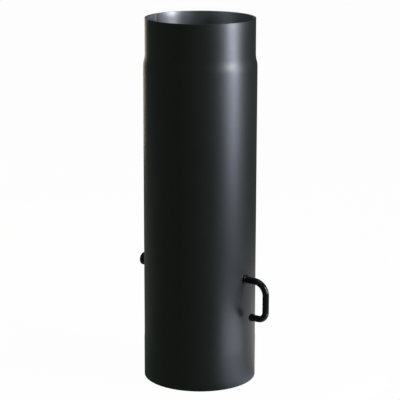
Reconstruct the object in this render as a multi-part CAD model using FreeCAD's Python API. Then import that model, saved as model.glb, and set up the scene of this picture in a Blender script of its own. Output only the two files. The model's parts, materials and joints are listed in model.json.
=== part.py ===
# Stove pipe with a hand damper, in millimetres.
# The origin is the centre of the bottom mouth. +Z runs up the pipe, and +X runs along the damper
# shaft towards its handle. The damper stands open here, with its handle hanging down.

import FreeCAD, Part
import math
import os

from FreeCAD import Vector

# Pipe
pipe_bore = 150.0
wall = 2.0
pipe_height = 500.0
socket_length = 55.0
socket_widening = 0.3          # the socket's radius over the plain bore's
socket_taper = 6.0             # run from the socket to the plain bore
spigot_length = 48.0
spigot_clearance = 0.7         # between a spigot and the next pipe's socket, on the radius
swage_length = 18.0            # S-shaped run from the body to the spigot
swage_runs = 4                 # straight runs that its two arcs are drawn with

# Shaft and handle, bent from one bar
shaft_height = 150.0
shaft_diameter = 9.0
shaft_clearance = 0.1          # in the pipe's holes, on the radius
seat_clearance = 0.05          # between pieces that are pushed or screwed together
stop_gap = 0.2                 # between the shaft's own collar and the wall
stop_diameter = 12.5
stop_thickness = 1.8
stop_chamfer = 0.3
grip_distance = 34.0           # from the wall to the grip's centre line
grip_drop = 52.0               # from the shaft to the return leg
upper_bend = 18.0
lower_bend = 11.5
return_leg = 14.3              # straight part after the lower bend, with the tip
tip_diameter = 10.4            # the bar's end is upset a little
tip_length = 9.0
tip_round = 3.0
shaft_end_stand = 1.0          # shaft beyond the set collar
shaft_end_chamfer = 0.8

# Blade
blade_gap = 3.0                # between the blade's edge and the bore
blade_thickness = 2.0
blade_offset = 1.5             # from the shaft's axis to the blade's front face
press_round = 1.2              # where the pressed channel leaves the flat plate
relief_hole_diameter = 36.0
relief_hole_margin = 12.0      # plate left between a relief hole and the blade's edge

# Saddles that clamp the bar to the blade
saddle_inset = 32.0            # from the blade's edge to the middle of a saddle
saddle_width = 18.0
saddle_thickness = 2.0
saddle_foot_margin = 6.0       # foot beyond the screw's centre
saddle_corner = 3.0            # cropped off the corners of its feet

# Fasteners, M5
screw_diameter = 5.0
screw_length = 12.0
screw_hole_diameter = 5.5
hex_width = 8.0                # across flats, head and nut
head_height = 3.5
nut_height = 4.0
head_room = 0.6                # between a screw head's corner and the saddle's bend
lock_washer_diameter = 9.2
lock_washer_thickness = 1.2
lock_washer_slit = 0.8
lock_washer_sides = 16         # flats that the small round forms are drawn with, to stay light
thread_sides = 12
thread_clearance = 0.05        # between a screw and what it runs through, on the radius

# Far end of the shaft
washer_diameter = 18.0
washer_thickness = 1.5
washer_clearance = 0.2         # between a washer and the shaft, on the radius
wall_gap = 0.05                # between the wall and the washer that rests on it
spring_gap = 0.1               # between the wall's washer and the turning spring
spring_length = 9.9
spring_diameter = 14.4
spring_wire = 1.4
spring_turns = 4.0             # with one closed turn at each end
closed_turn_gap = 0.2
coil_runs = 16                 # straight runs that a turn of the wire is drawn with
wire_sides = 8
set_collar_diameter = 18.0
set_collar_length = 10.0
set_collar_chamfer = 0.6
grub_diameter = 5.0
grub_socket_width = 2.5
grub_socket_depth = 2.0

# Places and radii worked out from the sizes above
bore_radius = pipe_bore / 2
pipe_radius = bore_radius + wall
socket_radius = bore_radius + socket_widening
spigot_radius = socket_radius - spigot_clearance
swage_top = pipe_height - spigot_length
swage_bottom = swage_top - swage_length

shaft_radius = shaft_diameter / 2
hub_radius = shaft_radius + seat_clearance
stop_start = pipe_radius + stop_gap
grip_x = pipe_radius + grip_distance
tip_x = grip_x - lower_bend - return_leg
return_height = shaft_height - grip_drop

blade_radius = bore_radius - blade_gap
blade_back = blade_offset + blade_thickness
channel_radius = hub_radius + blade_thickness
saddle_x = blade_radius - saddle_inset
saddle_front = blade_offset - saddle_thickness
saddle_radius = hub_radius + saddle_thickness
hex_corner_radius = hex_width / math.sqrt(3)
screw_side = max(channel_radius, saddle_radius) + press_round + hex_corner_radius + head_room

wall_washer_x = -(pipe_radius + wall_gap)
spring_x = wall_washer_x - washer_thickness - spring_gap
spring_washer_x = spring_x - spring_length
set_collar_x = spring_washer_x - washer_thickness
set_collar_end = set_collar_x - set_collar_length
shaft_end = set_collar_end - shaft_end_stand

AXIS_X = Vector(1, 0, 0)
AXIS_Y = Vector(0, 1, 0)
AXIS_Z = Vector(0, 0, 1)
FULL_TURN = 360
QUARTER_TURN = 90
HEX_SIDES = 6
NEAR = 0.01                    # how close an edge has to be to a place to be taken as on it


def polygon_face(points):
    """A flat face with straight sides through the points."""
    return Part.Face(Part.makePolygon(list(points) + [points[0]]))


def rod(x_from, x_to, radius, clearance=0.0):
    """A round bar along the shaft's axis between two places."""
    low = min(x_from, x_to)
    return Part.makeCylinder(radius + clearance, abs(x_to - x_from), Vector(low, 0, shaft_height), AXIS_X)


def s_curve(radius_low, z_low, radius_high, z_high):
    """Two equal arcs that leave and join the wall without a kink, as short straight edges."""
    step = radius_high - radius_low
    rise = z_high - z_low
    bend = (step * step + rise * rise) / (4 * abs(step))
    points = []
    for run in range(swage_runs + 1):
        along = rise * run / swage_runs
        from_end = min(along, rise - along)
        aside = math.copysign(bend - math.sqrt(bend * bend - from_end * from_end), step)
        radius = radius_low + aside if along <= rise / 2 else radius_high - aside
        points.append(Vector(radius, 0, z_low + along))
    return [Part.makeLine(start, end) for start, end in zip(points, points[1:])]


def wall_line(shift):
    """The bore's outline from the bottom rim to the top rim, moved outwards by shift, as edges."""
    socket = socket_radius + shift
    body = bore_radius + shift
    spigot = spigot_radius - wall + shift
    bottom = Vector(socket, 0, 0)
    taper_start = Vector(socket, 0, socket_length)
    taper_end = Vector(body, 0, socket_length + socket_taper)
    shoulder = Vector(body, 0, swage_bottom)
    neck = Vector(spigot, 0, swage_top)
    top = Vector(spigot, 0, pipe_height)
    straight = [(bottom, taper_start), (taper_start, taper_end), (taper_end, shoulder)]
    edges = [Part.makeLine(start, end) for start, end in straight]
    edges += s_curve(body, swage_bottom, spigot, swage_top)
    edges.append(Part.makeLine(neck, top))
    return edges


def make_pipe():
    """The tube: socket at the bottom, drawn-in spigot at the top, two holes for the shaft."""
    inner = wall_line(0.0)
    outer = wall_line(wall)
    bottom_rim = Part.makeLine(inner[0].Vertexes[0].Point, outer[0].Vertexes[0].Point)
    top_rim = Part.makeLine(inner[-1].Vertexes[-1].Point, outer[-1].Vertexes[-1].Point)
    outline = Part.Wire(Part.__sortEdges__(inner + [top_rim, bottom_rim] + outer))
    tube = Part.Face(outline).revolve(Vector(), AXIS_Z, FULL_TURN)
    reach = pipe_radius + wall
    return tube.cut(rod(-reach, reach, shaft_radius, shaft_clearance))


def make_shaft():
    """The bar: through the pipe, round the handle's two bends and back towards the wall."""
    upper_start = Vector(grip_x - upper_bend, 0, shaft_height)
    grip_top = Vector(grip_x, 0, shaft_height - upper_bend)
    grip_low = Vector(grip_x, 0, return_height + lower_bend)
    lower_end = Vector(grip_x - lower_bend, 0, return_height)
    swell_start = Vector(tip_x + tip_length, 0, return_height)
    bar = rod(shaft_end, upper_start.x, shaft_radius)
    bar = bar.makeChamfer(shaft_end_chamfer, edges_at(bar, shaft_end))
    stop = rod(stop_start, stop_start + stop_thickness, stop_diameter / 2)
    stop = stop.makeChamfer(stop_chamfer, edges_at(stop, stop_start + stop_thickness))
    pieces = [
        bar_bend(upper_start, AXIS_X, upper_start - AXIS_Z * upper_bend),
        Part.makeCylinder(shaft_radius, grip_top.z - grip_low.z, grip_low, AXIS_Z),
        bar_bend(grip_low, AXIS_Z, grip_low - AXIS_X * lower_bend),
        Part.makeCylinder(shaft_radius, lower_end.x - swell_start.x, swell_start, AXIS_X),
        make_tip(swell_start.x),
        stop,
    ]
    return bar.multiFuse(pieces).removeSplitter()


def bar_bend(start, heading, centre):
    """A quarter bend of the bar in the X-Z plane, from a place on it about the bend's centre."""
    section = Part.Face(Part.Wire(Part.makeCircle(shaft_radius, start, heading)))
    return section.revolve(centre, AXIS_Y, QUARTER_TURN)


def make_tip(swell_x):
    """The bar's upset end: it swells to the tip's diameter, and two slants round it off."""
    tip_radius = tip_diameter / 2
    middle = tip_round * (1 - math.sqrt(0.5))
    outline = [
        (swell_x, 0),
        (swell_x, shaft_radius),
        (tip_x + tip_round, tip_radius),
        (tip_x + middle, tip_radius - middle),
        (tip_x, tip_radius - tip_round),
        (tip_x, 0),
    ]
    face = polygon_face([Vector(x, 0, return_height + side) for x, side in outline])
    return face.revolve(Vector(tip_x, 0, return_height), AXIS_X, FULL_TURN)


def edges_at(solid, x):
    """The edges that lie on one level across the shaft."""
    return [e for e in solid.Edges if abs(e.BoundBox.XMin - x) < NEAR and abs(e.BoundBox.XMax - x) < NEAR]


def pressed_strip(low_y, thickness, bulge, half_length, x_from, x_to):
    """A flat strip across the shaft with a half-round channel for the bar, bulging to +Y or -Y."""
    hump_radius = hub_radius + thickness
    width = x_to - x_from
    flat = Part.makeBox(width, thickness, 2 * half_length, Vector(x_from, low_y, shaft_height - half_length))
    keep_y = blade_offset if bulge > 0 else blade_offset - 2 * hump_radius
    keep_corner = Vector(x_from, keep_y, shaft_height - hump_radius)
    keep = Part.makeBox(width, 2 * hump_radius, 2 * hump_radius, keep_corner)
    strip = flat.fuse(rod(x_from, x_to, hump_radius).common(keep)).removeSplitter()
    face_y = low_y + thickness if bulge > 0 else low_y
    side = math.sqrt(hump_radius ** 2 - face_y ** 2)
    strip = strip.makeFillet(press_round, [e for e in strip.Edges if is_root(e, face_y, side)])
    return strip.cut(rod(x_from, x_to, hub_radius))


def is_root(edge, face_y, side):
    """Whether an edge is one of the two lines where the channel's back leaves the flat face."""
    box = edge.BoundBox
    along_shaft = box.YLength < NEAR and box.ZLength < NEAR
    return along_shaft and abs(box.YMin - face_y) < NEAR and abs(abs(box.ZMin - shaft_height) - side) < NEAR


def hole_across(x, side, diameter):
    """A round tool along Y, through the blade and its saddles, beside the shaft."""
    reach = 2 * channel_radius
    return Part.makeCylinder(diameter / 2, 2 * reach, Vector(x, -reach, shaft_height + side), AXIS_Y)


def make_blade():
    """The round plate with the bar's channel pressed across it, two relief holes and four screw holes."""
    plate = pressed_strip(blade_offset, blade_thickness, 1, blade_radius, -blade_radius, blade_radius)
    disc = hole_across(0, 0, 2 * blade_radius)
    relief_side = blade_radius - relief_hole_margin - relief_hole_diameter / 2
    tools = [hole_across(0, side, relief_hole_diameter) for side in (-relief_side, relief_side)]
    tools += [hole_across(x, side, screw_hole_diameter) for x, side in screw_places()]
    return plate.common(disc).cut(tools).removeSplitter()


def make_saddle(x_middle):
    """A bent strap over the bar, with a foot and a screw hole on each side."""
    x_from = x_middle - saddle_width / 2
    x_to = x_middle + saddle_width / 2
    half_length = screw_side + saddle_foot_margin
    strap = pressed_strip(saddle_front, saddle_thickness, -1, half_length, x_from, x_to)
    corners = [e for e in strap.Edges if is_foot_corner(e, half_length)]
    strap = strap.makeChamfer(saddle_corner, corners)
    holes = [hole_across(x_middle, side, screw_hole_diameter) for side in (-screw_side, screw_side)]
    return strap.cut(holes)


def is_foot_corner(edge, half_length):
    """Whether an edge is an upright corner at the end of a saddle's foot."""
    box = edge.BoundBox
    upright = box.XLength < NEAR and box.ZLength < NEAR
    return upright and abs(abs(box.ZMin - shaft_height) - half_length) < NEAR


def screw_places():
    """The four screws, as places along the shaft and beside it."""
    return [(x, side) for x in (saddle_x, -saddle_x) for side in (screw_side, -screw_side)]


def flat_sided(sides, corner_radius, height, x=0.0, z=0.0):
    """An upright block with equal flat sides that stands on a level through z."""
    corners = []
    for step in range(sides):
        turn = 2 * math.pi * step / sides
        corners.append(Vector(x + corner_radius * math.cos(turn), corner_radius * math.sin(turn), z))
    return polygon_face(corners).extrude(AXIS_Z * height)


def place_across(shape, x, side, y):
    """Turns a piece made along +Z to point along -Y and puts its foot at y."""
    shape.rotate(Vector(), AXIS_X, QUARTER_TURN)
    shape.translate(Vector(x, y, shaft_height + side))
    return shape


def make_screw(x, side):
    """A hexagon screw, its head on the saddle and its shank through the blade."""
    head = flat_sided(HEX_SIDES, hex_corner_radius, head_height)
    shank = flat_sided(thread_sides, screw_diameter / 2, screw_length, z=-screw_length)
    return place_across(head.fuse(shank), x, side, saddle_front)


def make_lock_washer(x, side):
    """A split ring between the blade's back and a nut."""
    ring = flat_sided(lock_washer_sides, lock_washer_diameter / 2, lock_washer_thickness)
    hole = flat_sided(lock_washer_sides, screw_diameter / 2 + thread_clearance, lock_washer_thickness)
    slit = Part.makeBox(lock_washer_diameter, lock_washer_slit, lock_washer_thickness,
                        Vector(0, -lock_washer_slit / 2, 0))
    return place_across(ring.cut([hole, slit]), x, side, blade_back + lock_washer_thickness)


def make_nut(x, side):
    """A hexagon nut on the lock washer."""
    nut = flat_sided(HEX_SIDES, hex_corner_radius, nut_height)
    nut = nut.cut(flat_sided(thread_sides, screw_diameter / 2 + thread_clearance, nut_height))
    return place_across(nut, x, side, blade_back + lock_washer_thickness + nut_height)


def make_washer(x_start, clearance):
    """A plain washer on the shaft that reaches outwards from x_start."""
    x_end = x_start - washer_thickness
    return rod(x_start, x_end, washer_diameter / 2).cut(rod(x_start, x_end, shaft_radius, clearance))


def coil_height(turn):
    """How far the wire's centre has risen after so many turns: closed at both ends, open between."""
    closed_rise = spring_wire + closed_turn_gap
    open_rise = (spring_length - 2 * closed_rise) / (spring_turns - 2)
    if turn < 1:
        return closed_rise * turn
    if turn > spring_turns - 1:
        return spring_length - closed_rise * (spring_turns - turn)
    return closed_rise + open_rise * (turn - 1)


def make_spring():
    """A compression spring with closed, ground ends, round the shaft."""
    coil_radius = (spring_diameter - spring_wire) / 2
    runs = round(spring_turns * coil_runs)
    points = []
    for step in range(runs + 1):
        turn = spring_turns * step / runs
        angle = 2 * math.pi * turn
        points.append(Vector(coil_radius * math.cos(angle), coil_radius * math.sin(angle), coil_height(turn)))
    section = Part.makeCircle(spring_wire / 2, points[0], points[1] - points[0]).discretize(wire_sides + 1)
    coil = Part.makePolygon(points).makePipeShell([Part.makePolygon(section)], True, False, 1)
    reach = spring_diameter
    ground = Part.makeBox(2 * reach, 2 * reach, spring_length, Vector(-reach, -reach, 0))
    coil = coil.common(ground)
    coil.rotate(Vector(), AXIS_Y, -QUARTER_TURN)
    coil.translate(Vector(spring_x, 0, shaft_height))
    return coil


def grub_x():
    """The grub screw's place along the shaft."""
    return (set_collar_x + set_collar_end) / 2


def make_set_collar():
    """A turned ring on the shaft's end, drilled from below for its grub screw."""
    ring = rod(set_collar_x, set_collar_end, set_collar_diameter / 2)
    ring = ring.makeChamfer(set_collar_chamfer, edges_at(ring, set_collar_end))
    ring = ring.cut(rod(set_collar_x, set_collar_end, shaft_radius, seat_clearance))
    hole_radius = grub_diameter / 2 + seat_clearance
    hole = Part.makeCylinder(hole_radius, set_collar_diameter, Vector(grub_x(), 0, shaft_height), -AXIS_Z)
    return ring.cut(hole)


def make_grub_screw():
    """A headless screw with a six-sided socket, pressed on the shaft from below."""
    top = shaft_height - shaft_radius - seat_clearance
    low = shaft_height - set_collar_diameter / 2 + set_collar_chamfer
    body = flat_sided(thread_sides, grub_diameter / 2, top - low, grub_x(), low)
    socket = flat_sided(HEX_SIDES, grub_socket_width / math.sqrt(3), grub_socket_depth, grub_x(), low)
    return body.cut(socket)


def make_pieces():
    """Every piece of the assembly by name."""
    pieces = {
        "pipe": make_pipe(),
        "damper_shaft": make_shaft(),
        "damper_blade": make_blade(),
        "saddle_handle_side": make_saddle(saddle_x),
        "saddle_far_side": make_saddle(-saddle_x),
        "wall_washer": make_washer(wall_washer_x, washer_clearance),
        "shaft_spring": make_spring(),
        "spring_washer": make_washer(spring_washer_x, seat_clearance),
        "set_collar": make_set_collar(),
        "grub_screw": make_grub_screw(),
    }
    for number, (x, side) in enumerate(screw_places(), start=1):
        pieces["saddle_screw_%d" % number] = make_screw(x, side)
        pieces["lock_washer_%d" % number] = make_lock_washer(x, side)
        pieces["saddle_nut_%d" % number] = make_nut(x, side)
    return pieces


os.makedirs("parts", exist_ok=True)
for name, shape in make_pieces().items():
    solid = shape.Solids[0]
    solid.exportStep("parts/%s.step" % name)
    print("%-20s solids %d valid %s volume %.1f" % (name, len(shape.Solids), solid.isValid(), solid.Volume))
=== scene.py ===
# Stove pipe with a hand damper: its finishes, its light and the photograph's view, in metres.
from functools import partial
import json
import math

import bmesh
import bpy
from mathutils import Matrix, Vector
from mathutils.geometry import delaunay_2d_cdt


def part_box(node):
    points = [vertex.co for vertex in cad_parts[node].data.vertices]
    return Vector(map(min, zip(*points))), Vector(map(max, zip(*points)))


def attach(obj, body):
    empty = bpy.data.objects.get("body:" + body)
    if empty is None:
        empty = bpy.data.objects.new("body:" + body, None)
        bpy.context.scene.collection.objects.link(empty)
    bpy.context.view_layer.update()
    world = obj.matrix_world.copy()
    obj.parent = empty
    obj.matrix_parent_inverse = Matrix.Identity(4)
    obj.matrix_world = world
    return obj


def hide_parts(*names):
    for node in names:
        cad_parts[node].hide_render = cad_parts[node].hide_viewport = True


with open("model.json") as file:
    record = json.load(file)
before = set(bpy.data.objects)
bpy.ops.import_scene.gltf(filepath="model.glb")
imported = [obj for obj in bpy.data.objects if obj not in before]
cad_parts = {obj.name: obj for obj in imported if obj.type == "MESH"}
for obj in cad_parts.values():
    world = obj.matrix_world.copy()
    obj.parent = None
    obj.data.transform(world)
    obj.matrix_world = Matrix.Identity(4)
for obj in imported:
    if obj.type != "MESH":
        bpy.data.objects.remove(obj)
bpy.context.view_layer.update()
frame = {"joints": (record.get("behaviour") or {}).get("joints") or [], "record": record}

# One millimetre in the scene's unit
MM = 0.001

# Angles from which an edge shows as sharp
SHARP = math.radians(40)
FASTENER_SHARP = math.radians(25)
PLATE_SHARP = math.radians(14)   # keeps the flats flat beside their rounded edges

# Pipe, with its mounts and the joint read from the frame
mounts = {mount["name"]: mount for mount in frame["record"]["mounts"]}
socket_radius = mounts["socket"]["dims"]["r_mm"] * MM
socket_length = mounts["socket"]["dims"]["length_mm"] * MM
spigot_radius = mounts["spigot"]["dims"]["r_mm"] * MM
spigot_length = mounts["spigot"]["dims"]["length_mm"] * MM
pipe_height = mounts["spigot"]["pos_m"][2]
shaft_height = frame["joints"][0]["pos_m"][2]
wall = 2 * MM
socket_widening = 0.3 * MM
socket_taper = 6 * MM
swage_length = 18 * MM
shaft_hole_radius = 4.6 * MM
rim_rounding = 0.35 * MM         # the cut edges are broken with a file
bare_facing = -0.7               # faces that look further inwards than this stay bare
pipe_sides = 288
pipe_step = 10 * MM              # longest run along the pipe between two rings of points
sheet_waves = ((2, -0.10, 0.0), (5, 0.04, 1.9), (9, 0.022, 0.7), (14, 0.012, 2.6))
wave_pitch = 330 * MM            # along the pipe, over which the sheet's waves come and go

# Weld seam inside the pipe
seam_angle = math.radians(183)
seam_width = 3.2 * MM
seam_height = 0.28 * MM
seam_ripple = 1.3 * MM
seam_groove = 0.35               # share of the height that is lost between two ripples
seam_bow = 0.6                   # how far a ripple's middle runs ahead of its ends, in ripples
seam_sides = 10
seam_end_gap = 0.6 * MM          # the rims are trimmed flush after welding

# Shaft and handle, bent from one bar
shaft_low, shaft_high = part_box("damper_shaft")
shaft_radius = 4.5 * MM
stop_radius = 6.25 * MM
stop_thickness = 1.8 * MM
stop_gap = 0.2 * MM
upper_bend = 18 * MM
lower_bend = 11.5 * MM
return_leg = 14.3 * MM
tip_radius = 5.2 * MM
tip_length = 9 * MM
tip_round = 3 * MM
shaft_end_chamfer = 0.8 * MM
grip_x = shaft_high.x - shaft_radius
return_height = shaft_low.z + tip_radius
bar_sides = 48
bend_steps = 24
tip_steps = 10

# Blade and saddles, pressed from 2 mm plate
blade_low, blade_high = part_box("damper_blade")
blade_radius = (blade_high.z - blade_low.z) / 2
plate_thickness = 2 * MM
blade_front = blade_low.y
hub_radius = 4.55 * MM
press_round = 1.2 * MM
lip_round = 0.6 * MM             # the soft bend at the mouth of the pressed channel
press_steps = 14                 # break lines on each side of a pressed channel
relief_hole_radius = 18 * MM
relief_hole_side = 42 * MM
screw_hole_radius = 2.75 * MM
saddle_corner = 5 * MM           # round here, and cropped to the same reach in the plain solid
edge_rounding = 0.3 * MM         # sheared edges of plates and washers, brushed before painting
edge_steps = 3
blade_sides = 180
relief_hole_sides = 90
screw_hole_sides = 36

# Fasteners, M5
first_screw_low, first_screw_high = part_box("saddle_screw_1")
washer_1_low, washer_1_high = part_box("lock_washer_1")
nut_1_low, nut_1_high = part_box("saddle_nut_1")
hex_width = 8 * MM
head_height = 3.5 * MM
hex_sides = 48                   # points round a hexagon, eight to a flat
chamfer_start = 0.94             # share of the half width at which the 30 degree chamfer begins
thread_radius = 2.5 * MM
thread_pitch = 0.8 * MM
thread_depth = 0.43 * MM
thread_steps = 6                 # rings to one pitch
thread_slope = 1.3               # above 1 it leaves crest and root flat
thread_flat = 0.15
thread_end = 0.7 * MM            # length of the screw's pointed start
thread_point = 0.55 * MM         # how much the start is narrowed
nut_bore_radius = 2.55 * MM
countersink = 0.35 * MM
lock_washer_radius = 4.6 * MM
lock_washer_slit = 0.8 * MM
lock_washer_slant = 380          # radians a metre: how far the slit leans through the thickness
lock_washer_rounding = 0.15 * MM
lock_washer_steps = 40
fastener_turn = 0.5              # radians by which each one may be turned either way

# Far end of the shaft
spring_low, spring_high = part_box("shaft_spring")
collar_low, collar_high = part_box("set_collar")
grub_low, grub_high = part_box("grub_screw")
spring_wire_radius = 0.7 * MM
spring_turns = 4
spring_steps = 56                # points to a turn
spring_sides = 16
closed_turn_gap = 0.2 * MM
set_collar_chamfer = 0.6 * MM
washer_sides = 96
wall_washer_bore = 4.7 * MM
grub_radius = 2.5 * MM
grub_hole_radius = 2.55 * MM
grub_chamfer = 0.3 * MM
grub_socket_width = 2.5 * MM
grub_socket_depth = 2 * MM

# Light. An azimuth is a compass angle in degrees from the handle's side, and a height is above the floor.
side_lamps = {
    "high_strip_box": dict(azimuth=14, distance=1.04, low=0.65, high=0.83, width=0.08,
                           power=6.9, colour="#F8FAFF"),
    "strip_box": dict(azimuth=14, distance=1.04, low=0.26, high=0.46, width=0.29,
                      power=4.5, colour="#E0E9FF"),
    "low_strip_box": dict(azimuth=8.6, distance=0.25, low=0, high=0.04, width=0.18,
                          power=0.08, colour="#EAF0FF"),
    "back_strip_box": dict(azimuth=150, distance=1.1, low=0.1, high=0.9, width=0.3,
                           power=1.5, colour="#FFF4E6"),
}
top_box_power = 5
top_box_height = 2.2
top_box_width = 1.6
world_light = 0.12
floor_reach = 40.0
floor_drop = 0.2 * MM
floor_white_share = 0.98         # how much of the white sheet is as the camera sees it, and not lit

# Cards that only reflections see
tent_colour = "#49524A"
tent_radius = 2.6
tent_sides = 48
floor_card_height = 0.6 * MM
floor_card_sides = 120
floor_card_steps = 30
# Soft glows on the floor's card: compass angle, half width in degrees, reach, strength and colour
floor_glows = (
    (4, 38, 0.3, 0.8, "#DDE6FF"),
    (76, 66, 0.8, 0.62, "#FFFFFF"),
    (165, 60, 2.2, 0.075, "#FFFFEC"),
)

# View of the photograph
picture_width_px = 400
focal_length_px = 1605
camera_azimuth = math.radians(36.82)
camera_pitch = math.radians(13.6)
camera_roll = math.radians(0.1136)
camera_distance = 2.137
camera_height = 0.7664

AXIS_X = Vector((1, 0, 0))
AXIS_Y = Vector((0, 1, 0))
AXIS_Z = Vector((0, 0, 1))
FULL_TURN = 2 * math.pi
bore_radius = socket_radius - socket_widening
pipe_radius = bore_radius + wall
stop_start = pipe_radius + stop_gap
shaft_centre = Vector((0, 0, shaft_height))
screw_x = (first_screw_low.x + first_screw_high.x) / 2
screw_side = (first_screw_low.z + first_screw_high.z) / 2 - shaft_height


# Small tools for shapes

def linear(colour):
    """A colour written as sRGB hex, as linear red, green, blue and alpha."""
    parts = [int(colour[place:place + 2], 16) / 255 for place in (1, 3, 5)]
    return [c / 12.92 if c <= 0.04045 else ((c + 0.055) / 1.055) ** 2.4 for c in parts] + [1.0]


def node(tree, kind, inputs=None, **settings):
    """Adds a node with its settings and its inputs."""
    made = tree.nodes.new(kind)
    for name, value in settings.items():
        setattr(made, name, value)
    fill(tree, made, inputs or {})
    return made


def fill(tree, made, inputs):
    """Sets a node's inputs. A value is a number, a colour or a socket to link."""
    for name, value in inputs.items():
        if isinstance(value, bpy.types.NodeSocket):
            tree.links.new(value, made.inputs[name])
        else:
            made.inputs[name].default_value = value


def output(tree, kind, name, inputs=None, **settings):
    """Adds a node and gives one of its outputs."""
    return node(tree, kind, inputs, **settings).outputs[name]


def add_object(name, data):
    """A new object in the scene."""
    made = bpy.data.objects.new(name, data)
    bpy.context.scene.collection.objects.link(made)
    return made


def piece_from(name, points, faces, material, sharp=SHARP):
    """A mesh object at the origin with its faces turned outwards and smooth up to the sharp angle."""
    mesh = bpy.data.meshes.new(name)
    mesh.from_pydata([tuple(point) for point in points], [], faces)
    return piece_of(name, mesh, material, sharp)


def piece_of(name, mesh, material, sharp=SHARP):
    """The object for a finished mesh."""
    shape = bmesh.new()
    shape.from_mesh(mesh)
    bmesh.ops.remove_doubles(shape, verts=shape.verts, dist=1e-7)
    bmesh.ops.recalc_face_normals(shape, faces=shape.faces)
    shape.to_mesh(mesh)
    shape.free()
    mesh.shade_smooth()
    mesh.set_sharp_from_angle(angle=sharp)
    mesh.materials.clear()
    mesh.materials.append(material)
    return add_object(name, mesh)


def hand_over(piece, body, slot, *nodes):
    """Fixes a finished piece to its body and hides the solids it stands for."""
    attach(piece, body)
    if nodes:
        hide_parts(*nodes)
    return piece


def skin(rings, closed):
    """Points and faces over rings of points. A ring of one point closes an end."""
    points = [point for ring in rings for point in ring]
    starts = [sum(len(ring) for ring in rings[:place]) for place in range(len(rings))]
    pairs = list(zip(range(len(rings)), range(1, len(rings))))
    if closed:
        pairs.append((len(rings) - 1, 0))
    faces = []
    for here, there in pairs:
        count = max(len(rings[here]), len(rings[there]))
        for side in range(count):
            corners = [starts[here] + side % len(rings[here]),
                       starts[here] + (side + 1) % len(rings[here]),
                       starts[there] + (side + 1) % len(rings[there]),
                       starts[there] + side % len(rings[there])]
            faces.append(list(dict.fromkeys(corners)))
    return points, faces


def circle_ring(centre, across, up, radius, sides):
    """Points on a circle about a centre. The radius may be a function of the angle."""
    ring = []
    for side in range(sides):
        angle = FULL_TURN * side / sides
        reach = radius(angle) if callable(radius) else radius
        ring.append(centre + (across * math.cos(angle) + up * math.sin(angle)) * reach)
    return ring


def rounded_outline(corners, steps=4):
    """A closed outline from corners (across, along, rounding), each rounding drawn as an arc."""
    outline = []
    for place, (x, y, rounding) in enumerate(corners):
        corner = Vector((x, y))
        back = (Vector(corners[place - 1][:2]) - corner).normalized()
        ahead = (Vector(corners[(place + 1) % len(corners)][:2]) - corner).normalized()
        if rounding == 0:
            outline.append(corner)
            continue
        half = back.angle(ahead) / 2
        centre = corner + (back + ahead).normalized() * (rounding / math.sin(half))
        reach = rounding / math.tan(half)
        start = corner + back * reach - centre
        end = corner + ahead * reach - centre
        for step in range(steps + 1):
            share = step / steps
            outline.append(centre + (start * (1 - share) + end * share).normalized() * rounding)
    return outline


def box_outline(left, right, low, high, rounding, steps=4):
    """A rectangle's outline with its corners rounded."""
    corners = ((left, low), (right, low), (right, high), (left, high))
    return rounded_outline([(*corner, rounding) for corner in corners], steps)


def turned(outline):
    """Points and faces of a ring: a closed outline of (radius, x) turned about the shaft's axis."""
    rings = []
    for radius, x in outline:
        rings.append(circle_ring(shaft_centre + AXIS_X * x, AXIS_Y, AXIS_Z, radius, washer_sides))
    return skin(rings, closed=True)


def round_tool(places, across, up, radius, material):
    """A round tool for a hole that runs between two places."""
    rings = [circle_ring(place, across, up, radius, bar_sides) for place in places]
    points, faces = skin(rings, closed=False)
    faces += [list(range(bar_sides)), list(range(bar_sides, 2 * bar_sides))]
    return piece_from("hole_tool", points, faces, material)


def cut(piece, *tools):
    """Takes tools out of a piece, both given as objects, and removes the tools."""
    for tool in tools:
        modifier = piece.modifiers.new("cut", "BOOLEAN")
        modifier.operation = "DIFFERENCE"
        modifier.solver = "EXACT"
        modifier.object = tool
    mesh = evaluated_mesh(piece)
    piece.modifiers.clear()
    piece.data = mesh
    mesh.set_sharp_from_angle(angle=SHARP)
    for tool in tools:
        bpy.data.objects.remove(tool)
    return piece


def evaluated_mesh(piece):
    """A plain copy of an object's mesh with its modifiers applied."""
    bpy.context.view_layer.update()
    graph = bpy.context.evaluated_depsgraph_get()
    return bpy.data.meshes.new_from_object(piece.evaluated_get(graph))


# Finishes

def empty_tree(owner):
    """The node tree of a new material or world, with nothing in it."""
    owner.use_nodes = True
    owner.node_tree.nodes.clear()
    return owner.node_tree


def surface(name):
    """A new material with its node tree, its shader and the piece's own coordinates."""
    material = bpy.data.materials.new(name)
    tree = empty_tree(material)
    shader = node(tree, "ShaderNodeBsdfPrincipled")
    node(tree, "ShaderNodeOutputMaterial", {"Surface": shader.outputs["BSDF"]})
    return material, tree, shader, output(tree, "ShaderNodeTexCoord", "Object")


def noise(tree, place, size_mm, detail=2.0):
    """A soft random pattern from 0 to 1, with blobs of about this size."""
    scale = 1 / (size_mm * MM)
    return output(tree, "ShaderNodeTexNoise", "Fac", {"Vector": place, "Scale": scale, "Detail": detail})


def between(tree, factor, low, high, from_low=0.3, from_high=0.7):
    """Spreads a pattern's middle range over two values."""
    return output(tree, "ShaderNodeMapRange", "Result", {
        "Value": factor, "From Min": from_low, "From Max": from_high, "To Min": low, "To Max": high})


def tint(tree, factor, first, second):
    """A colour that a pattern shifts from one hex value to another."""
    return output(tree, "ShaderNodeMix", "Result", {
        "Factor": between(tree, factor, 0, 1), "A": linear(first), "B": linear(second)}, data_type="RGBA")


def bumps(tree, height, depth_mm):
    """A bump of this real depth."""
    return output(tree, "ShaderNodeBump", "Normal", {
        "Height": height, "Distance": depth_mm * MM, "Strength": 1.0})


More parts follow.
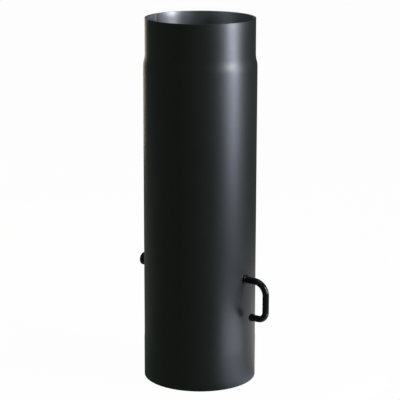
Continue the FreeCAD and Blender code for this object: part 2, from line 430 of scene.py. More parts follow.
def finish(name, cloud_mm, detail, colours, roughness, values, depth_mm=0.0, grain_mm=None):
    """A material: a soft pattern shifts its colour and roughness, and a finer one or itself makes bumps."""
    material, tree, shader, place = surface(name)
    cloud = noise(tree, place, cloud_mm, detail)
    fill(tree, shader, dict(values, Roughness=between(tree, cloud, *roughness)))
    fill(tree, shader, {"Base Color": tint(tree, cloud, *colours)})
    if depth_mm:
        grain = noise(tree, place, grain_mm) if grain_mm else cloud
        fill(tree, shader, {"Normal": bumps(tree, grain, depth_mm)})
    return material


def silicone_heat_paint():
    """Sprayed silicone stove paint, cured to a satin black: a soft, wide highlight over fine grain."""
    material, tree, shader, place = surface("silicone_heat_paint")
    cloud = noise(tree, place, 70, detail=3)
    mist = noise(tree, place, 9, detail=3)
    # The spray's grain is about 0.2 mm, and is drawn at 0.8 mm so that it shows
    grain = noise(tree, place, 0.8)
    rough = maths(tree, "ADD", between(tree, cloud, 0.398, 0.442), between(tree, mist, -0.015, 0.015))
    fill(tree, shader, {
        "Base Color": tint(tree, cloud, "#040605", "#050806"),
        "Roughness": rough,
        "Normal": bumps(tree, grain, 0.012),
        "IOR": 1.5,
        "Specular IOR Level": 0.796,
        # The resin that rises as the paint cures lies over it as a thin dull coat
        "Coat Weight": 0.6,
        "Coat Roughness": 0.44,
    })
    return material


# Pipe

def sheet_wave(angle, z):
    """How far the rolled sheet stands off a true circle. It never bulges out at the shaft's holes."""
    total = 0.0
    for count, height, phase in sheet_waves:
        total += height * MM * math.cos(count * angle + phase * math.sin(FULL_TURN * z / wave_pitch))
    return total


def swage_side(low_radius, high_radius, steps=12):
    """The two arcs of the drawn-in step from the body to the spigot, as (radius, z)."""
    step = high_radius - low_radius
    bend = (step * step + swage_length * swage_length) / (4 * abs(step))
    z_low = pipe_height - spigot_length - swage_length
    side = []
    for run in range(steps + 1):
        along = swage_length * run / steps
        from_end = min(along, swage_length - along)
        aside = math.copysign(bend - math.sqrt(bend * bend - from_end * from_end), step)
        radius = low_radius + aside if run <= steps / 2 else high_radius - aside
        side.append((radius, z_low + along))
    return side


def wall_side(shift):
    """The bore's line from the bottom to the top, moved outwards by shift, as (radius, z)."""
    taper_end = (bore_radius + shift, socket_length + socket_taper)
    swage = swage_side(bore_radius + shift, spigot_radius - wall + shift)
    bottom = (socket_radius + shift, 0.0)
    taper_start = (socket_radius + shift, socket_length)
    top = (spigot_radius - wall + shift, pipe_height)
    line = [bottom] + spans(bottom, taper_start) + spans(taper_start, taper_end)
    return line + spans(taper_end, swage[0]) + swage[1:] + spans(swage[-1], top)


def spans(start, end):
    """Places from one point of a side to the next, no longer apart than the pipe's step."""
    count = max(1, math.ceil((end[1] - start[1]) / pipe_step))
    return [tuple(Vector(start).lerp(Vector(end), step / count)) for step in range(1, count + 1)]


def make_pipe(outside, inside):
    """The tube with its rolled-in step, its broken edges and the shaft's holes, painted outside only."""
    inner = [(radius, z, 0) for radius, z in wall_side(0.0)]
    outer = [(radius, z, 0) for radius, z in reversed(wall_side(wall))]
    for side in (inner, outer):
        for end in (0, -1):
            side[end] = (side[end][0], side[end][1], rim_rounding)
    outline = rounded_outline(inner + outer)
    rings = []
    for radius, z in outline:
        reach = lambda angle, radius=radius, z=z: radius + sheet_wave(angle, z)
        rings.append(circle_ring(AXIS_Z * z, AXIS_X, AXIS_Y, reach, pipe_sides))
    pipe = piece_from("pipe_tube", *skin(rings, closed=True), outside)
    pipe.data.materials.append(inside)
    for face in pipe.data.polygons:
        outwards = Vector((face.center.x, face.center.y, 0)).normalized()
        if face.normal.dot(outwards) < bare_facing:
            face.material_index = 1
    tools = []
    for side in (-AXIS_X, AXIS_X):
        ends = [shaft_centre + side * reach for reach in (bore_radius - wall, pipe_radius + wall)]
        tools.append(round_tool(ends, AXIS_Y, AXIS_Z, shaft_hole_radius, outside))
    return cut(pipe, *tools)


def make_weld_seam(material):
    """The long weld inside the tube: a low bead with curved ripples, from rim to rim."""
    line = bpy.data.curves.new("seam_line", "CURVE")
    line.dimensions = "3D"
    across = AXIS_X * math.cos(seam_angle) + AXIS_Y * math.sin(seam_angle)
    points = []
    for radius, z in wall_side(0.0):
        z = min(max(z, seam_end_gap), pipe_height - seam_end_gap)
        points.append(across * (radius + sheet_wave(seam_angle, z)) + AXIS_Z * z)
    spline = line.splines.new("POLY")
    spline.points.add(len(points) - 1)
    for place, point in enumerate(points):
        spline.points[place].co = (*point, 1)
    guide = add_object("seam_line", line)
    sizes = {"Path": guide, "Width": seam_width, "Height": seam_height, "Ripple": seam_ripple}
    seam = grown("weld_seam", bead_tree(), material, sizes)
    bpy.data.objects.remove(guide)
    return seam


def bead_tree():
    """A bead along a path on the inner wall: a round section, flattened towards the wall and rippled."""
    tree, given = geometry_tree("weld_bead", {
        "Path": "Object", "Width": "Float", "Height": "Float", "Ripple": "Float"})
    calc = partial(maths, tree)
    vector_calc = partial(vector_maths, tree)
    path = output(tree, "GeometryNodeObjectInfo", "Geometry", {"Object": given["Path"]})
    points = output(tree, "GeometryNodeResampleCurve", "Curve", {
        "Curve": path, "Length": calc("DIVIDE", given["Ripple"], 4)}, mode="LENGTH")
    position = output(tree, "GeometryNodeInputPosition", "Position")
    kept = tree.nodes.new("GeometryNodeCaptureAttribute")
    kept.capture_items.new("VECTOR", "Spine")
    fill(tree, kept, {"Geometry": points, "Spine": position})
    spine = kept.outputs["Spine"]
    half = calc("DIVIDE", given["Width"], 2)
    tube = swept(tree, kept.outputs["Geometry"], half, seam_sides)
    outwards = vector_calc("NORMALIZE", vector_calc("MULTIPLY", spine, (1, 1, 0)))
    offset = vector_calc("SUBTRACT", position, spine)
    depth = vector_calc("DOT_PRODUCT", offset, outwards, result="Value")
    distance = vector_calc("LENGTH", offset, result="Value")
    aside = calc("SUBTRACT", calc("MULTIPLY", distance, distance), calc("MULTIPLY", depth, depth))
    bow = calc("MULTIPLY", calc("DIVIDE", aside, calc("MULTIPLY", half, half)), seam_bow)
    height = output(tree, "ShaderNodeSeparateXYZ", "Z", {"Vector": spine})
    phase = calc("ADD", calc("DIVIDE", height, given["Ripple"]), bow)
    ridge = calc("ABSOLUTE", calc("SINE", calc("MULTIPLY", phase, math.pi)))
    lift = calc("ADD", calc("MULTIPLY", ridge, seam_groove), 1 - seam_groove)
    flat = calc("MULTIPLY", calc("DIVIDE", given["Height"], half), lift)
    back = calc("MULTIPLY", depth, calc("SUBTRACT", flat, 1))
    pressed = output(tree, "GeometryNodeSetPosition", "Geometry", {
        "Geometry": tube, "Offset": vector_calc("SCALE", outwards, scale=back)})
    return finish_tree(tree, pressed, given)


# Damper

def bar_ring(centre, heading, radius):
    """Points round the bar at a place on its centre line, square to its heading in the X-Z plane."""
    return circle_ring(centre, AXIS_Y, heading.cross(AXIS_Y), radius, bar_sides)


def straight_rings(start, heading, outline):
    """Rings along a straight run, from pairs of a way along it and a radius. No radius closes the end."""
    rings = []
    for along, radius in outline:
        centre = start + heading * along
        rings.append(bar_ring(centre, heading, radius) if radius > 0 else [centre])
    return rings


def bend_rings(centre, bend, start_turn):
    """Rings round a quarter bend of the bar, which turns down or back from an angle in degrees."""
    rings = []
    for step in range(bend_steps + 1):
        turn = math.radians(start_turn - 90 * step / bend_steps)
        outwards = Vector((math.cos(turn), 0, math.sin(turn)))
        heading = Vector((math.sin(turn), 0, -math.cos(turn)))
        rings.append(bar_ring(centre + outwards * bend, heading, shaft_radius))
    return rings


def make_bar(material):
    """The bar through the pipe, with its upset stop, its two handle bends and its swollen end."""
    bend_start = grip_x - upper_bend
    stop_end = stop_start + stop_thickness
    corners = [
        (shaft_low.x, 0, 0),
        (shaft_low.x, shaft_radius - shaft_end_chamfer, 0.15 * MM),
        (shaft_low.x + shaft_end_chamfer, shaft_radius, 0.3 * MM),
        (stop_start, shaft_radius, 0),
        (stop_start, stop_radius, 0.35 * MM),
        (stop_end, stop_radius, 0.5 * MM),
        (stop_end, shaft_radius, 0.5 * MM),
        (bend_start, shaft_radius, 0),
        (bend_start, 0, 0),
    ]
    rings = straight_rings(shaft_centre, AXIS_X, rounded_outline(corners)[:-2])
    rings += bend_rings(Vector((bend_start, 0, shaft_height - upper_bend)), upper_bend, 90)
    rings += bend_rings(Vector((grip_x - lower_bend, 0, return_height + lower_bend)), lower_bend, 0)
    lower_end = Vector((grip_x - lower_bend, 0, return_height))
    rings += straight_rings(lower_end, -AXIS_X, tip_outline())
    return piece_from("handle_bar", *skin(rings, closed=False), material)


def tip_outline():
    """The bar's end as pairs of a way along it and a radius: a soft swell and a rounded nose."""
    swell_start = return_leg - tip_length
    swell_length = tip_length - tip_round
    outline = []
    for step in range(tip_steps + 1):
        share = step / tip_steps
        swell = (tip_radius - shaft_radius) * (1 - math.cos(math.pi * share)) / 2
        outline.append((swell_start + swell_length * share, shaft_radius + swell))
    for step in range(1, tip_steps + 1):
        turn = math.pi / 2 * step / tip_steps
        along = return_leg - tip_round + tip_round * math.sin(turn)
        outline.append((along, tip_radius - tip_round * (1 - math.cos(turn))))
    return outline + [(return_leg, 0)]


def pressed_line(flat, radius, rounding):
    """Half of a pressed channel's section, from its crown out, as (aside, height) for a way out.

    The way covers the crown's arc and the root's bend at an even pace, and then the flat in real length.
    """
    root = math.sqrt((radius + rounding) ** 2 - (flat + rounding) ** 2)
    turn = math.atan2(root, flat + rounding)
    crown = radius * turn

    def at(way):
        if way >= root:
            return way, flat
        length = way / root * (crown + rounding * turn)
        if length < crown:
            angle = length / radius
            return radius * math.sin(angle), radius * math.cos(angle)
        angle = turn - (length - crown) / rounding
        return root - rounding * math.sin(angle), flat + rounding - rounding * math.cos(angle)

    return at, root


def cut_pattern(loops, folds, reach):
    """Triangles of a flat pattern: the first loop less the others, with fold lines along the shaft."""
    places = [Vector(place) for loop in loops for place in loop]
    starts = [sum(len(loop) for loop in loops[:place]) for place in range(len(loops))]
    outlines = [list(range(start, start + len(loop))) for start, loop in zip(starts, loops)]
    lines = []
    for fold in folds:
        lines.append((len(places), len(places) + 1))
        places += [Vector((-reach, fold)), Vector((reach, fold))]
    made, _, triangles, _, _, sources = delaunay_2d_cdt(places, lines, outlines, 1, 1e-9)
    kept = [list(triangle) for triangle, source in zip(triangles, sources) if list(source) == [0]]
    used = sorted({corner for triangle in kept for corner in triangle})
    number = {corner: place for place, corner in enumerate(used)}
    return [made[corner] for corner in used], [[number[corner] for corner in triangle] for triangle in kept]


def rim_steps(made, triangles):
    """For each point on a pattern's edges: the next one, and the way out at the same gap all round."""
    sides = {(t[k], t[(k + 1) % 3]) for t in triangles for k in range(3)}
    after = {start: end for start, end in sides if (end, start) not in sides}
    before = {end: start for start, end in after.items()}
    ways = {}
    for place in after:
        arriving = (made[place] - made[before[place]]).normalized()
        leaving = (made[after[place]] - made[place]).normalized()
        first = Vector((arriving.y, -arriving.x))
        second = Vector((leaving.y, -leaving.x))
        ways[place] = (first + second) / (1 + first.dot(second))
    return after, ways


def pressed_plate(name, loops, near, far, bulge, material):
    """A sheet with a half-round channel along the shaft, and brushed edges.

    Its loops are in the flat and drawn in by the edges' rounding. near and far are its two faces.
    """
    near_at, near_root = near
    far_at, far_root = far
    widest = max(near_root, far_root)
    folds = [widest * step / press_steps for step in range(-press_steps, press_steps + 1)]
    made, triangles = cut_pattern(loops, folds, 2 * blade_radius)
    after, ways = rim_steps(made, triangles)

    def point(place, share):
        near_side, near_height = near_at(abs(place.y))
        far_side, far_height = far_at(abs(place.y))
        side = math.copysign(near_side + (far_side - near_side) * share, place.y)
        height = near_height + (far_height - near_height) * share
        return Vector((place.x, bulge * height, shaft_height + side))

    layers = []
    for step in range(edge_steps + 1):
        turn = math.pi / 2 * step / edge_steps
        depth = edge_rounding * (1 - math.cos(turn)) / plate_thickness
        layers.append((edge_rounding * math.sin(turn), depth))
    layers += [(reach, 1 - depth) for reach, depth in reversed(layers)]

    points = [point(place, 0) for place in made] + [point(place, 1) for place in made]
    count = len(made)
    faces = triangles + [[count + corner for corner in reversed(triangle)] for triangle in triangles]
    levels = [{place: place for place in after}]
    for reach, depth in layers[1:-1]:
        level = {}
        for place in after:
            level[place] = len(points)
            points.append(point(made[place] + ways[place] * reach, depth))
        levels.append(level)
    levels.append({place: count + place for place in after})
    for upper, lower in zip(levels, levels[1:]):
        faces += [[upper[end], upper[start], lower[start], lower[end]] for start, end in after.items()]
    return piece_from(name, points, faces, material, PLATE_SHARP)


def round_loop(x, side, radius, sides):
    """A circle in a plate's pattern."""
    turns = [FULL_TURN * step / sides for step in range(sides)]
    return [(x + radius * math.cos(turn), side + radius * math.sin(turn)) for turn in turns]


def screw_hole(x, side):
    """A screw's hole in a plate's pattern."""
    return round_loop(x, side, screw_hole_radius + edge_rounding, screw_hole_sides)


def make_blade(material):
    """The round plate with the bar's channel, two relief holes and the screws' holes."""
    loops = [round_loop(0, 0, blade_radius - edge_rounding, blade_sides)]
    for side in (-relief_hole_side, relief_hole_side):
        loops.append(round_loop(0, side, relief_hole_radius + edge_rounding, relief_hole_sides))
    for x in (-screw_x, screw_x):
        loops += [screw_hole(x, side) for side in (-screw_side, screw_side)]
    near = pressed_line(blade_front, hub_radius, lip_round)
    far = pressed_line(blade_front + plate_thickness, hub_radius + plate_thickness, press_round)
    return pressed_plate("blade", loops, near, far, 1, material)


def make_saddle(name, node_name, material):
    """A bent strap over the bar, with rounded feet."""
    low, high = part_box(node_name)
    half_length = (high.z - low.z) / 2 - edge_rounding
    outline = box_outline(low.x + edge_rounding, high.x - edge_rounding, -half_length, half_length,
                          saddle_corner - edge_rounding, steps=8)
    middle = (low.x + high.x) / 2
    holes = [screw_hole(middle, side) for side in (-screw_side, screw_side)]
    near = pressed_line(-high.y, hub_radius, lip_round)
    far = pressed_line(plate_thickness - high.y, hub_radius + plate_thickness, press_round)
    return pressed_plate(name, [outline] + holes, near, far, -1, material)


# Fasteners

def hex_reach(half_width):
    """How far a hexagon's side lies from its centre, as a function of the angle."""
    def reach(angle):
        within = (angle + math.pi / 6) % (math.pi / 3) - math.pi / 6
        return half_width / math.cos(within)
    return reach


def fastener_ring(y, radius):
    """Points round a fastener's axis at y."""
    return circle_ring(AXIS_Y * y, AXIS_X, AXIS_Z, radius, hex_sides)


def hex_rings(y, inwards):
    """The chamfered edge of a hexagon's face at y, from its flat top to its sides. inwards is +1 or -1."""
    flat_radius = chamfer_start * hex_width / 2
    edge = []
    for point in fastener_ring(y, hex_reach(hex_width / 2)):
        distance = math.hypot(point.x, point.z)
        edge.append(point + AXIS_Y * inwards * (distance - flat_radius) * math.tan(math.radians(30)))
    return [fastener_ring(y, flat_radius), edge]


def thread_ring(y, end):
    """One ring of a screw thread at y: its radius follows the helix, and the point narrows it."""
    def radius(angle):
        phase = (y / thread_pitch - angle / FULL_TURN) % 1
        groove = min(max(abs(2 * phase - 1) * thread_slope - thread_flat, 0), 1)
        from_end = max(0.0, thread_end - (end - y)) / thread_end
        return min(thread_radius - thread_depth * groove, thread_radius - thread_point * from_end)
    return fastener_ring(y, radius)


def screw_shape():
    """One hexagon screw on the Y axis, at the real places along it."""
    top = first_screw_low.y
    end = first_screw_high.y
    seat = top + head_height
    rings = [[AXIS_Y * top]] + hex_rings(top, 1) + list(reversed(hex_rings(seat, -1)))
    rings.append(fastener_ring(seat, thread_radius))
    count = round((end - seat) / thread_pitch * thread_steps)
    for step in range(2, count + 1):
        rings.append(thread_ring(seat + (end - seat) * step / count, end))
    rings.append([AXIS_Y * end])
    return skin(rings, closed=False)


def nut_shape():
    """One hexagon nut on the Y axis, chamfered on both faces and countersunk."""
    low = nut_1_low.y
    high = nut_1_high.y
    rings = []
    for y, inwards in ((low, 1), (high, -1)):
        bore = fastener_ring(y + inwards * countersink, nut_bore_radius)
        mouth = fastener_ring(y, nut_bore_radius + countersink)
        half = [bore, mouth] + hex_rings(y, inwards)
        rings += half if inwards > 0 else reversed(half)
    return skin(rings, closed=True)


def lock_washer_shape():
    """One split spring washer on the Y axis, with a slanted slit."""
    low = washer_1_low.y
    high = washer_1_high.y
    section = box_outline(nut_bore_radius, lock_washer_radius, low, high, lock_washer_rounding)
    middle = (low + high) / 2
    half_slit = lock_washer_slit / (lock_washer_radius + nut_bore_radius)
    rings = []
    for step in range(lock_washer_steps + 1):
        turn = half_slit + (FULL_TURN - 2 * half_slit) * step / lock_washer_steps
        ring = []
        for radius, y in section:
            angle = turn + (y - middle) * lock_washer_slant
            ring.append(Vector((radius * math.cos(angle), y, radius * math.sin(angle))))
        rings.append(ring)
    points, faces = skin(rings, closed=False)
    count = len(section)
    return points, faces + [list(range(count)), list(range(len(points) - count, len(points)))]


def geometry_tree(name, sockets):
    """A geometry tree with named inputs for its sizes and its finish, and one output."""
    tree = bpy.data.node_groups.new(name, "GeometryNodeTree")
    for socket, kind in dict(sockets, Finish="Material").items():
        tree.interface.new_socket(name=socket, in_out="INPUT", socket_type="NodeSocket" + kind)
    tree.interface.new_socket(name="Geometry", in_out="OUTPUT", socket_type="NodeSocketGeometry")
    return tree, node(tree, "NodeGroupInput").outputs


def finish_tree(tree, geometry, given):
    """Ends a geometry tree with real meshes in the given finish."""
    real = output(tree, "GeometryNodeRealizeInstances", "Geometry", {"Geometry": geometry})
    dressed = output(tree, "GeometryNodeSetMaterial", "Geometry", {
        "Geometry": real, "Material": given["Finish"]})
    node(tree, "NodeGroupOutput", {"Geometry": dressed})
    return tree


def maths(tree, operation, first, second=0.0):
    """One sum of two numbers in a tree."""
    return output(tree, "ShaderNodeMath", "Value", {0: first, 1: second}, operation=operation)


def vector_maths(tree, operation, first, second=(0, 0, 0), scale=1.0, result="Vector"):
    """One sum of two vectors in a tree."""
    return output(tree, "ShaderNodeVectorMath", result, {0: first, 1: second, 3: scale},
                  operation=operation)


def swept(tree, line, radius, sides):
    """A round bar along a curve, with closed ends."""
    section = output(tree, "GeometryNodeCurvePrimitiveCircle", "Curve", {
        "Resolution": sides, "Radius": radius})
    return output(tree, "GeometryNodeCurveToMesh", "Mesh", {
        "Curve": line, "Profile Curve": section, "Fill Caps": True})


def grown(name, tree, material, sizes, sharp=SHARP):
    """Runs a geometry tree once and keeps what it makes as a plain piece."""
    holder = add_object(name, bpy.data.meshes.new(name))
    modifier = holder.modifiers.new(name, "NODES")
    modifier.node_group = tree
    for socket in tree.interface.items_tree:
        if socket.in_out == "INPUT":
            modifier[socket.identifier] = dict(sizes, Finish=material)[socket.name]
    mesh = evaluated_mesh(holder)
    bpy.data.objects.remove(holder)
    return piece_of(name, mesh, material, sharp)


def fastener_tree():
    """One fastener at each corner of an upright grid, each turned by a random amount about its own axis."""
    tree, given = geometry_tree("fastener_set", {
        "Fastener": "Object", "Across": "Float", "Upright": "Float",
        "Centre Height": "Float", "Seed": "Int"})
    grid = output(tree, "GeometryNodeMeshGrid", "Mesh", {
        "Size X": given["Across"], "Size Y": given["Upright"], "Vertices X": 2, "Vertices Y": 2})
    centre = output(tree, "ShaderNodeCombineXYZ", "Vector", {"Z": given["Centre Height"]})
    stood = output(tree, "GeometryNodeTransform", "Geometry", {
        "Geometry": grid, "Translation": centre, "Rotation": (math.pi / 2, 0, 0)})
    fastener = output(tree, "GeometryNodeObjectInfo", "Geometry", {"Object": given["Fastener"]})
    turn = output(tree, "FunctionNodeRandomValue", "Value", {
        "Min": (0, -fastener_turn, 0), "Max": (0, fastener_turn, 0), "Seed": given["Seed"],
    }, data_type="FLOAT_VECTOR")
    rotation = output(tree, "FunctionNodeEulerToRotation", "Rotation", {"Euler": turn})
    placed = output(tree, "GeometryNodeInstanceOnPoints", "Instances", {
        "Points": stood, "Instance": fastener, "Rotation": rotation})
    return finish_tree(tree, placed, given)


def make_fasteners(tree, name, shape, seed, material, sharp):
    """The four copies of one fastener, as one piece."""
    pattern = piece_from(name + "_pattern", *shape, material, sharp)
    sizes = {"Fastener": pattern, "Across": 2 * screw_x, "Upright": 2 * screw_side,
             "Centre Height": shaft_height, "Seed": seed}
    fasteners = grown(name, tree, material, sizes, sharp)
    bpy.data.objects.remove(pattern)
    return fasteners


# Far end of the shaft

def spring_tree():
    """A compression spring along -X, with one closed turn at each end and its ends ground flat."""
    tree, given = geometry_tree("coil_spring", {
        "Start": "Vector", "Turns": "Float", "Points": "Int", "Coil Radius": "Float",
        "Wire Radius": "Float", "Length": "Float", "Closed Rise": "Float"})
    calc = partial(maths, tree)
    line = output(tree, "GeometryNodeCurvePrimitiveLine", "Curve")
    points = output(tree, "GeometryNodeResampleCurve", "Curve", {
        "Curve": line, "Count": given["Points"]}, mode="COUNT")
    turn = calc("MULTIPLY", output(tree, "GeometryNodeSplineParameter", "Factor"), given["Turns"])
    angle = calc("MULTIPLY", turn, FULL_TURN)
    closed = given["Closed Rise"]
    open_turns = calc("SUBTRACT", given["Turns"], 2)
    open_length = calc("SUBTRACT", given["Length"], calc("MULTIPLY", closed, 2))
    in_open = calc("MINIMUM", calc("MAXIMUM", calc("SUBTRACT", turn, 1), 0), open_turns)
    in_last = calc("MAXIMUM", calc("SUBTRACT", calc("SUBTRACT", turn, open_turns), 1), 0)
    first = calc("MULTIPLY", calc("MINIMUM", turn, 1), closed)
    middle = calc("MULTIPLY", in_open, calc("DIVIDE", open_length, open_turns))
    along = calc("ADD", calc("ADD", first, middle), calc("MULTIPLY", in_last, closed))
    place = output(tree, "ShaderNodeCombineXYZ", "Vector", {
        "X": calc("MULTIPLY", along, -1),
        "Y": calc("MULTIPLY", calc("SINE", angle), given["Coil Radius"]),
        "Z": calc("MULTIPLY", calc("COSINE", angle), given["Coil Radius"]),
    })
    coil = output(tree, "GeometryNodeSetPosition", "Geometry", {"Geometry": points, "Position": place})
    wire = swept(tree, coil, given["Wire Radius"], spring_sides)
    position = output(tree, "GeometryNodeInputPosition", "Position")
    parts = node(tree, "ShaderNodeSeparateXYZ", {"Vector": position}).outputs
    far_end = calc("MULTIPLY", given["Length"], -1)
    ground = output(tree, "ShaderNodeCombineXYZ", "Vector", {
        "X": calc("MINIMUM", calc("MAXIMUM", parts["X"], far_end), 0), "Y": parts["Y"], "Z": parts["Z"]})
    flat = output(tree, "GeometryNodeSetPosition", "Geometry", {"Geometry": wire, "Position": ground})
    put = output(tree, "GeometryNodeTransform", "Geometry", {
        "Geometry": flat, "Translation": given["Start"]})
    return finish_tree(tree, put, given)


def make_spring(material):
    """The spring between the two washers, round the shaft."""
    return grown("spring", spring_tree(), material, {
        "Start": (spring_high.x, 0, shaft_height),
        "Turns": float(spring_turns),
        "Points": spring_turns * spring_steps + 1,
        "Coil Radius": (spring_high.z - spring_low.z) / 2 - spring_wire_radius,
        "Wire Radius": spring_wire_radius,
        "Length": spring_high.x - spring_low.x,
        "Closed Rise": 2 * spring_wire_radius + closed_turn_gap,
    })


def make_washer(name, node_name, bore, material):
    """A blanked washer with brushed edges."""
    low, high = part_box(node_name)
    outline = box_outline(bore, (high.z - low.z) / 2, low.x, high.x, edge_rounding)
    return piece_from(name, *turned(outline), material, PLATE_SHARP)


def make_set_collar(material):
    """The turned ring at the shaft's end, with the grub screw's hole from below."""
    radius = (collar_high.z - collar_low.z) / 2
    corners = [
        (hub_radius, collar_low.x, 0.3 * MM),
        (radius - set_collar_chamfer, collar_low.x, 0.2 * MM),
        (radius, collar_low.x + set_collar_chamfer, 0.2 * MM),
        (radius, collar_high.x, 0.25 * MM),
        (hub_radius, collar_high.x, 0.1 * MM),
    ]
    collar = piece_from("far_collar", *turned(rounded_outline(corners)), material, PLATE_SHARP)
    middle = shaft_centre + AXIS_X * (collar_low.x + collar_high.x) / 2
    ends = [middle - AXIS_Z * depth for depth in (shaft_radius / 2, 2 * radius)]
    return cut(collar, round_tool(ends, AXIS_X, AXIS_Y, grub_hole_radius, material))


def make_grub_screw(material):
    """The headless screw in the collar, with a six-sided socket that opens downwards."""
    middle = Vector(((grub_low.x + grub_high.x) / 2, 0, 0))
    socket_reach = hex_reach(grub_socket_width / 2)
    sections = [
        (grub_high.z, 0),
        (grub_high.z, grub_radius - grub_chamfer),
        (grub_high.z - grub_chamfer, grub_radius),
        (grub_low.z + grub_chamfer, grub_radius),
        (grub_low.z, grub_radius - grub_chamfer),
        (grub_low.z, socket_reach),
        (grub_low.z + grub_socket_depth, socket_reach),
        (grub_low.z + grub_socket_depth, 0),
    ]
    rings = []
    for z, radius in sections:
        centre = middle + AXIS_Z * z
        rings.append(circle_ring(centre, AXIS_X, AXIS_Y, radius, hex_sides) if radius else [centre])
    return piece_from("collar_grub_screw", *skin(rings, closed=False), material, FASTENER_SHARP)


# Floor, light and camera

def make_stage():
    """A white sheet without end under the pipe. It keeps the pipe's soft shadow."""
    material, tree, shader, _ = surface("white_sheet")
    fill(tree, shader, {"Base Color": linear("#E6E6E4"), "Roughness": 0.9, "Specular IOR Level": 0.1})
    white = output(tree, "ShaderNodeEmission", "Emission", {"Color": linear("#FFFFFF"), "Strength": 1.0})
    share = maths(tree, "MULTIPLY", seen_white(tree), floor_white_share)
    mixed = output(tree, "ShaderNodeMixShader", "Shader", {0: share, 1: shader.outputs["BSDF"], 2: white})
    fill(tree, next(n for n in tree.nodes if n.type == "OUTPUT_MATERIAL"), {"Surface": mixed})
    outline = box_outline(-floor_reach, floor_reach, -floor_reach, floor_reach, 0)
    piece_from("floor", [(*corner, -floor_drop) for corner in outline], [[0, 1, 2, 3]], material)


def seen_white(tree):
    """1 for what the camera, a reflection or a clear piece sees, and 0 for light that falls on the pipe."""
    path = node(tree, "ShaderNodeLightPath").outputs
    first = maths(tree, "MAXIMUM", path["Is Camera Ray"], path["Is Glossy Ray"])
    return maths(tree, "MAXIMUM", first, path["Is Transmission Ray"])


def make_world():
    """A white surround as seen, and a dim one as light."""
    world = bpy.data.worlds.new("studio")
    bpy.context.scene.world = world
    tree = empty_tree(world)
    strength = between(tree, seen_white(tree), world_light, 1.0, 0, 1)
    background = output(tree, "ShaderNodeBackground", "Background", {
        "Color": linear("#FFFFFF"), "Strength": strength})
    node(tree, "ShaderNodeOutputWorld", {"Surface": background})


def card(name, colour):
    """A card for reflections: it gives off its own colour and takes no light."""
    material = bpy.data.materials.new(name)
    tree = empty_tree(material)
    glow = output(tree, "ShaderNodeEmission", "Emission", {"Color": linear(colour), "Strength": 1.0})
    node(tree, "ShaderNodeOutputMaterial", {"Surface": glow})
    return material


def for_reflections(piece):
    """Hides a card from everything but reflections."""
    piece.visible_camera = False
    piece.visible_diffuse = False
    piece.visible_transmission = False
    piece.visible_shadow = False


def make_tent():
    """A dark card all round and on the floor, for reflections alone: it keeps the paint black."""
    rings = [[Vector((0, 0, 0))]]
    steps = tent_sides // 4
    for step in range(steps + 1):
        lift = math.pi / 2 * step / steps
        centre = AXIS_Z * tent_radius * math.sin(lift)
        radius = max(tent_radius * math.cos(lift), MM)
        rings.append(circle_ring(centre, AXIS_X, AXIS_Y, radius, tent_sides))
    for_reflections(piece_from("tent", *skin(rings, closed=False), card("dark_card", tent_colour)))


def soft(share):
    """A share from 0 to 1 with soft ends."""
    share = min(max(share, 0), 1)
    return share * share * (3 - 2 * share)


def floor_tone(azimuth, distance):
    """What a reflection sees of the floor at a compass angle and a distance from the pipe's axis."""
    tone = Vector(linear(tent_colour))
    for centre, half_width, reach, strength, colour in floor_glows:
        aside = abs((azimuth - centre + 180) % 360 - 180)
        share = soft(1 - aside / half_width) * soft(1.5 - 1.5 * distance / reach)
        tone += Vector(linear(colour)) * (strength * share)
    return tone


def make_floor_card():
    """A card on the floor for reflections, dark with soft light areas."""
    rings = []
    tones = []
    for step in range(floor_card_steps + 1):
        distance = pipe_radius + (0.95 * tent_radius - pipe_radius) * (step / floor_card_steps) ** 2
        rings.append(circle_ring(AXIS_Z * floor_card_height, AXIS_X, AXIS_Y, distance, floor_card_sides))
        tones += [floor_tone(360 * side / floor_card_sides, distance) for side in range(floor_card_sides)]
    material = card("floor_card", tent_colour)
    tree = material.node_tree
    tone = output(tree, "ShaderNodeAttribute", "Color", attribute_name="tone")
    fill(tree, next(n for n in tree.nodes if n.type == "EMISSION"), {"Color": tone})
    floor_card = piece_from("floor_card", *skin(rings, closed=False), material)
    attribute = floor_card.data.attributes.new("tone", "FLOAT_COLOR", "POINT")
    for place, tone in enumerate(tones):
        attribute.data[place].color = tone
    for_reflections(floor_card)


def make_lamp(name, place, target, width, height, power, colour):
    """A rectangular soft box that points from its place at a target."""
    data = bpy.data.lights.new(name, "AREA")
    data.shape = "RECTANGLE"
    data.size = width
    data.size_y = height
    data.energy = power
    data.color = linear(colour)[:3]
    lamp = add_object(name, data)
    lamp.location = place
    lamp.rotation_euler = (Vector(target) - Vector(place)).to_track_quat("-Z", "Y").to_euler()


def side_lamp(name, azimuth, distance, low, high, width, power, colour):
    """An upright soft box beside the pipe, between two heights."""
    place = around(azimuth, distance, (low + high) / 2)
    make_lamp(name, place, (0, 0, place.z), width, high - low, power, colour)


def make_camera():
    """The photograph's camera: its place, tilt and focal length were found from the pipe's outline."""
    data = bpy.data.cameras.new("photo_view")
    data.lens = data.sensor_width * focal_length_px / picture_width_px
    camera = add_object("photo_view", data)
    aside = math.sin(camera_azimuth) * camera_distance
    back = -math.cos(camera_azimuth) * camera_distance
    place = Matrix.Translation((aside, back, camera_height))
    turn = Matrix.Rotation(camera_azimuth, 4, "Z")
    tilt = Matrix.Rotation(math.radians(90) - camera_pitch, 4, "X")
    roll = Matrix.Rotation(camera_roll, 4, "Z")
    camera.matrix_world = place @ turn @ tilt @ roll
    bpy.context.scene.camera = camera


def around(azimuth, distance, height):
    """A place round the pipe, by its compass angle from the handle's side."""
    angle = math.radians(azimuth)
    return Vector((math.cos(angle) * distance, math.sin(angle) * distance, height))


heat_paint = silicone_heat_paint()
metal = {"Metallic": 1.0}
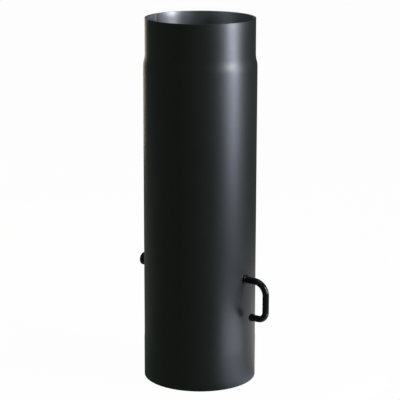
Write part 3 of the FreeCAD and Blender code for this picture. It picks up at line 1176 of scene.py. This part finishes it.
# The sheet's bare inside: cold rolled steel under a film of oil, grey with a soft shine
bare_steel = finish("rolled_steel", cloud_mm=24, detail=3, colours=("#A2A4AB", "#B0B2B9"),
                    roughness=(0.36, 0.42), values=metal, depth_mm=0.008, grain_mm=1.2)
# Weld metal left bare: brighter than the sheet, and clouded by the heat
bare_weld = finish("weld_metal", cloud_mm=5, detail=3, colours=("#B2B3B6", "#C4C4C5"),
                   roughness=(0.34, 0.44), values=metal)
# Black enamel on a smooth bar, dipped and baked: glossier than the paint, with small flow marks
enamel = finish("baked_enamel", cloud_mm=14, detail=2, colours=("#0A0B0C", "#0E0F11"),
                roughness=(0.2, 0.25), values={"IOR": 1.52}, depth_mm=0.006, grain_mm=3.5)
# Zinc plated steel with a cloudy bloom. Its crystals are under 0.1 mm, and are drawn at 0.3 mm to show
zinc = finish("bright_zinc", cloud_mm=3, detail=4, colours=("#B9BBB8", "#CFD0CC"),
              roughness=(0.28, 0.42), values=metal, depth_mm=0.004, grain_mm=0.3)
# Oil-hardened drawn spring wire: dark steel with a burnished shine
spring_wire = finish("drawn_spring_wire", cloud_mm=1.5, detail=4, colours=("#3C3D3F", "#55565A"),
                     roughness=(0.30, 0.46), values=metal, depth_mm=0.006)

hand_over(make_pipe(heat_paint, bare_steel), "flue_pipe", "heat_paint", "pipe")
hand_over(make_weld_seam(bare_weld), "flue_pipe", "heat_paint")
hand_over(make_bar(enamel), "damper", "heat_paint", "damper_shaft")
hand_over(make_blade(heat_paint), "damper", "heat_paint", "damper_blade")
for side in ("handle_side", "far_side"):
    saddle = make_saddle("strap_" + side, "saddle_" + side, heat_paint)
    hand_over(saddle, "damper", "heat_paint", "saddle_" + side)

fasteners = fastener_tree()
for name, shape, stands_for, seed in (
    ("hex_screws", screw_shape(), "saddle_screw_%d", 3),
    ("split_washers", lock_washer_shape(), "lock_washer_%d", 5),
    ("hex_nuts", nut_shape(), "saddle_nut_%d", 8),
):
    set_of_four = make_fasteners(fasteners, name, shape, seed, zinc, FASTENER_SHARP)
    hand_over(set_of_four, "damper", "plated_steel", *[stands_for % number for number in (1, 2, 3, 4)])

hand_over(make_spring(spring_wire), "damper", "spring_steel", "shaft_spring")
far_washer = make_washer("washer_by_wall", "wall_washer", wall_washer_bore, zinc)
hand_over(far_washer, "flue_pipe", "plated_steel", "wall_washer")
near_washer = make_washer("washer_by_collar", "spring_washer", hub_radius, zinc)
hand_over(near_washer, "damper", "plated_steel", "spring_washer")
hand_over(make_set_collar(enamel), "damper", "heat_paint", "set_collar")
hand_over(make_grub_screw(zinc), "damper", "plated_steel", "grub_screw")

make_stage()
make_world()
bpy.context.scene.view_settings.view_transform = "Standard"
make_tent()
make_floor_card()
for name, values in side_lamps.items():
    side_lamp(name, **values)
make_lamp("top_box", (0, 0, top_box_height), (0, 0, 0), top_box_width, top_box_width,
          top_box_power, "#FFFFFF")
make_camera()
